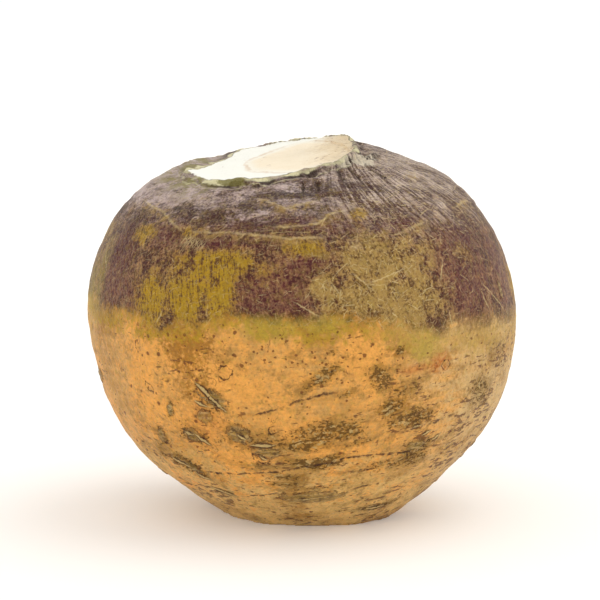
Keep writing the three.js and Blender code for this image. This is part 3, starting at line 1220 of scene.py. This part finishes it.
def crusts_and_scars(surface, patchy):
    """Where crusts lie, their barred filling, and the dark outline that crusts and scars have."""
    bench = surface.bench
    fine = surface.fine
    rough = surface.rough
    crust = surface.mark("crust") + rough * 0.26 + fine * 0.14
    bars = bench.mosaic(0.45, bench.noise(surface.drawn(0.09), 0.7, 3.0, seed=34) * 0.8 + fine * 0.6)
    stains = bench.mosaic(0.34, rough * 0.6 + fine * 0.8) * 0.8
    filling = bench.coats(CRUST_GREY, (bars, CRUST_PALE), (stains, CRUST_DARK))
    scar = surface.mark("scar") + fine * 0.1 + rough * 0.24
    outline = bench.most(bench.near(crust - 0.46, 0.02, 0.14) * 0.75, bench.near(scar - 0.45, 0.03, 0.14))
    return bench.rise(crust, 0.45, 0.65), filling, outline * bench.kept(patchy + 0.15)


def cork_slivers(surface):
    """The dark beds of the slivers, and their pale cores of cork."""
    bench = surface.bench
    gap = abs(surface.mark("sliver_off") + surface.fine * 0.12)
    there = surface.mark("sliver_on")
    bed = bench.fall(gap - there * 1.2, -0.5, 0.25) * bench.rise(there, 0.05, 0.25)
    core = bench.fall(gap - there * 0.45 + surface.fine * 0.12, -0.12, 0.12) * bench.rise(there, 0.1, 0.3)
    return bed, core


def ring_lines(surface):
    """Dark dotted lines along the growth rings."""
    dots = surface.bench.rise(surface.noise(1.6, 2.0, seed=35), -0.5, 0.3)
    return surface.line("ring", surface.rough * 0.35, 0.1, 0.6) * dots


def leaf_scars(surface, patchy):
    """The pale line of each leaf scar, and the olive band beside it."""
    bench = surface.bench
    rough = surface.rough
    line = surface.line("arc", rough * 0.3, 0.05, 0.6)
    line = line * bench.kept(0.45 + patchy * 0.4 + surface.fine * 0.3)
    band = surface.line("arc", rough + 0.8, 0.4, 2.6)
    return line, band * bench.kept(patchy * 0.48 - rough * 0.4)


def fine_scratches(surface, above, patchy):
    """Short pale scratches of three lengths and curling hairs, thickest where the skin is worn."""
    bench = surface.bench
    strokes = surface.hairs(2.4, 0.1, 36) * 0.35
    for seed, kind in enumerate(STROKES, 1):
        strokes = bench.most(strokes, surface.strokes(*kind, seed))
    right_shoulder = bench.rise(surface.x, 10, 30) * bench.rise(surface.z, 80, 88)
    worn = 0.24 + right_shoulder * 0.5 + surface.mark("scratched") * 0.5 + patchy * 0.25
    return strokes * (above * bench.kept(worn + surface.rough * 0.2))


def skin_marks(surface, skin):
    """Lays every mark over the skin; returns it with the marks that are sunk, dark and raised."""
    bench = surface.bench
    above = bench.rise(surface.mark("above"), -3, 1)
    below = 1 - above
    patchy = bench.rise(surface.noise(2.6, 2.0, seed=37), -0.5, 0.4)
    dots = lenticels(surface, below)
    haze, pale_net, dark_net = scurf_nets(surface)
    crusted, filling, outline = crusts_and_scars(surface, patchy)
    bed, core = cork_slivers(surface)
    arc, band = leaf_scars(surface, patchy)
    scratches = fine_scratches(surface, above, patchy)
    colour = bench.coats(
        skin,
        (dots * 0.8, SPECK_BROWN),
        (brown_curls(surface, below) * 0.7, SPECK_BROWN),
        (haze * 0.36, SCURF_OLIVE),
        (pale_net * 0.65, CRUST_PALE),
        (dark_net * 0.78, SCURF_DARK),
        (crusted * 0.62, filling),
        (outline * 0.85, CRUST_DARK),
        (bed * 0.8, CRUST_DARK),
        (core * 0.9, CRUST_PALE),
        (ring_lines(surface) * 0.8, CRUST_DARK),
        (arc * 0.75, SCRATCH_PALE),
        (band, OLIVE),
        (surface.line("scratch", surface.fine * 0.2, 0.05, 0.3) * 0.55, SCRATCH_PALE),
        (bench.kept(scratches * 0.8), SCRATCH_PALE),
        (surface.line("crack", surface.fine * 0.2, 0.1, 0.55) * 0.65, OLIVE_DARK),
    )
    raised = scratches + arc + core * 1.5 + pale_net * 0.6
    return colour, dots, bench.most(dark_net, bench.most(outline, bed)), raised


def cut_flesh(surface):
    """Pale flesh: near white at its edge, a cream core in a thin tan ring, browned to the right."""
    bench = surface.bench
    fine = surface.noise(1.4, 3.0, 0.6, seed=41)
    cloud = surface.noise(15, 3.0, seed=42)
    core_x = (surface.x - CORE_AT[0]) / CORE_SIZE[0]
    core_y = (surface.y - CORE_AT[1]) / CORE_SIZE[1]
    out = bench.maths("SQRT", core_x * core_x + core_y * core_y) + cloud * 0.1 + fine * 0.03
    ring = bench.near(out - 1.0, 0.01, 0.07) * bench.kept(0.5 + cloud * 0.7 + fine * 0.3)
    browned = bench.rise(surface.x + cloud * 4 + fine * 3, -2, 16)
    cracks_at = bench.join(surface.x * 0.5, surface.y, 0.0)
    cracks = bench.near(bench.noise(cracks_at, 4, 3.0, 0.65, seed=45), 0.0, 0.09) * browned
    spots = surface.noise(1.5, 2.0, seed=43) + surface.noise(9, 1.0, seed=44) * 0.5
    bruises = bench.rise(surface.noise(6, 3.0, 0.6, seed=46), 1.15, 1.4) * (1 - browned)
    return bench.coats(
        CUT_WHITE,
        (bench.fall(out, 0.7, 1.1), CUT_CREAM),
        (ring * 0.65, CUT_LINE),
        (browned * 0.8, CUT_BROWNED),
        (cracks * bench.kept(0.3 + cloud * 0.9), CUT_SPECK),
        (bench.rise(spots + browned * 0.6, 1.15, 1.6) * 0.7, CUT_SPECK),
        (bruises * 0.8, RIND_OLIVE),
    )


def trimmed_tail(surface):
    """The dried face the root stands on: tan, with a browner ring and lines out from its middle."""
    bench = surface.bench
    across = surface.x - TAIL_AT
    out = bench.maths("SQRT", across * across + surface.y * surface.y)
    turn = bench.maths("ARCTAN2", surface.y, across)
    lines = bench.noise(bench.join(turn * 14, out * 0.15, 0.0), 1.2, 3.0, 0.6, seed=61)
    cloud = surface.noise(6, 3.0, 0.6, seed=62)
    ring = bench.near(out - 17 + cloud * 1.5, 0.5, 3.0)
    return bench.blend(bench.mosaic(0.3 + ring * 0.3, lines * 0.4 + cloud * 0.4), TAIL_TAN, TAIL_BROWN)


def torn_bases(surface, grain):
    """The torn bases of leaf stalks: where they lie, and their pale and dark shreds."""
    bench = surface.bench
    shreds = bench.noise(surface.swirl(), 5.0, 3.0, 0.65, seed=56)
    mark = surface.mark("torn")
    torn = bench.rise(mark + shreds * 0.3, 0.2, 0.7) * bench.rise(mark, 0.03, 0.2)
    return torn, bench.blend(bench.mosaic(0.62, shreds * 1.5 + grain * 0.3), OLIVE_DARK, SHRED_PALE)


def trimmed_ends(surface, skin, grain):
    """Tail face, neck, painted shade under the rim, rind and cut flesh over the skin; returns it and the
    share of the cut.
    """
    bench = surface.bench
    hollow = surface.noise(5, 2.0, seed=52)
    left_edge = (surface.x - surface.y * 0.34 + 28.5) * 0.95
    rim = bench.least(surface.mark("rim"), left_edge) + surface.noise(8, 4.0, 0.6, seed=51) * 0.9
    # Painted shade: dark olive in the hollow under the rim of the cut.
    under = bench.rise(rim, -4.8, -2.0) * bench.kept(0.5 + hollow * 1.4)
    torn, shreds = torn_bases(surface, grain)
    left_ridge = bench.rise(surface.mark("rim"), -13, -3) * bench.fall(surface.x, -30, -20)
    facing_down = bench.fall(bench.parts(surface.outward)[2], -0.98, -0.9)
    second_rim = bench.near(rim + 3.0 + hollow * 1.1, 0.1, 0.45) * bench.fall(surface.y, -16, -8)
    cut = bench.rise(rim, 0.0, 0.35)
    rind = bench.near(rim + 0.5 + hollow * 0.6, 0.35, 1.05)
    bruised = bench.rise(surface.mark("bruise") + grain * 0.2, 0.3, 0.7)
    colour = bench.coats(
        skin,
        (under * 0.95, OLIVE_DARK),
        (torn * 0.9, shreds),
        (left_ridge * bench.mosaic(0.55, grain * 0.5 + hollow * 0.5), RIND_OLIVE),
        (facing_down * bench.fall(surface.z, 0.2, 0.6), trimmed_tail(surface)),
        (second_rim * bench.kept(0.5 + grain * 0.5) * 0.7, RIND),
        (cut, cut_flesh(surface)),
        (rind * bench.kept(0.55 + hollow * 0.9), RIND),
        (bruised * 0.8, BRUISE_OLIVE),
    )
    return colour, cut


def root_finish():
    """The whole root's material."""
    material, bench = new_material("rutabaga skin and flesh")
    surface = Surface(bench)
    skin = boundary_skin(surface, lower_skin(surface), upper_skin(surface))
    skin, sunk, dark, raised = skin_marks(surface, skin)
    grain = surface.noise(0.9, 3.0, 0.62, seed=53)
    lumps = surface.noise(2.6, 3.0, 0.6, seed=55)
    skin = bench.times(skin, 1 + grain * 0.13 + lumps * 0.1)
    colour, cut = trimmed_ends(surface, skin, grain)
    fibres = bench.noise(surface.meridians(0.012, 0.15), 0.8, 2.0, seed=54)
    upper = bench.rise(surface.mark("above"), -2, 2)
    ledges = bench.noise(surface.drawn(0.2, surface.z + lumps * 0.6), 2.4, 3.0, 0.55, seed=57)
    ledges = ledges * bench.rise(surface.z, 82, 91)
    relief = ledges * 0.4 + grain * 0.16 + lumps * 0.16 + fibres * 0.12 * upper
    relief = relief + raised * 0.12 - sunk * 0.15 - dark * 0.15
    values = {"Strength": 1.0, "Distance": MM, "Height": relief * (1 - cut * 0.8)}
    finish = {
        "Base Color": colour,
        "Roughness": bench.kept(0.52 + grain * 0.06 + dark * 0.2 - cut * 0.05),
        "Normal": bench.node("ShaderNodeBump", None, values, "Normal"),
        "Specular IOR Level": 0.25,
    }
    shader = bench.node("ShaderNodeBsdfPrincipled", None, finish)
    bench.node("ShaderNodeOutputMaterial", None, {"Surface": shader})
    return material


# ---------- The studio ----------
def floor():
    """A plain pale floor that the root stands on."""
    material, bench = new_material("studio floor")
    values = {
        "Base Color": FLOOR_COLOUR,
        "Roughness": 0.9,
        "Specular IOR Level": 0.1,
        "Emission Color": (1, 1, 1),
        "Emission Strength": FLOOR_GLOW,
    }
    shader = bench.node("ShaderNodeBsdfPrincipled", None, values)
    bench.node("ShaderNodeOutputMaterial", None, {"Surface": shader})
    mesh = bpy.data.meshes.new("floor")
    half = FLOOR_HALF * MM
    corners = [(-half, -half, 0), (half, -half, 0), (half, half, 0), (-half, half, 0)]
    mesh.from_pydata(corners, [], [(0, 1, 2, 3)])
    mesh.materials.append(material)
    piece = bpy.data.objects.new("floor", mesh)
    bpy.context.scene.collection.objects.link(piece)


def studio():
    """White surroundings, and one wide soft sun from the upper right."""
    world = bpy.data.worlds.new("studio")
    world.use_nodes = True
    background = world.node_tree.nodes["Background"]
    background.inputs["Color"].default_value = (1, 1, 1, 1)
    background.inputs["Strength"].default_value = WORLD_STRENGTH
    bpy.context.scene.world = world
    data = bpy.data.lights.new("softbox", "SUN")
    data.energy = SUN_STRENGTH
    data.angle = SUN_WIDTH
    lamp = bpy.data.objects.new("softbox", data)
    lamp.rotation_euler = (-Vector(SUN_FROM)).to_track_quat("-Z", "Y").to_euler()
    bpy.context.scene.collection.objects.link(lamp)


def camera():
    """The eye: a little above the root's middle, looking along +Y."""
    data = bpy.data.cameras.new("eye")
    data.lens = LENS
    data.sensor_width = SENSOR
    eye = bpy.data.objects.new("eye", data)
    back = Vector((0, -math.cos(EYE_ELEVATION), math.sin(EYE_ELEVATION)))
    eye.location = (Vector(EYE_AIM) + back * EYE_DISTANCE) * MM
    eye.rotation_euler = (-back).to_track_quat("-Z", "Y").to_euler()
    bpy.context.scene.collection.objects.link(eye)
    bpy.context.scene.camera = eye
    bpy.context.scene.view_settings.view_transform = "Standard"


# ---------- The root ----------
def rutabaga():
    """The root's one piece: its skin grown on the solid, marked, raised and finished."""
    finish = root_finish()
    solid = merged_copy("rutabaga")
    piece = bpy.data.objects.new("rutabaga_skin", bpy.data.meshes.new("seed"))
    bpy.context.scene.collection.objects.link(piece)
    heart = tuple(length * MM for length in HEART)
    values = {"Solid": solid, "Heart": heart, "Reach": RAY_REACH * MM, "Points": DIVISIONS + 1}
    run_tree(piece, skin_tree(finish), values)
    bpy.data.objects.remove(solid)
    place, on_cut = refine(piece.data)
    bake_map(piece.data)
    lay_marks(piece.data, place, on_cut)
    run_tree(piece, relief_tree(finish), RELIEF)
    piece.data.attributes.remove(piece.data.attributes["cube"])
    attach(piece, "root")
    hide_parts("rutabaga")


camera()
studio()
floor()
rutabaga()
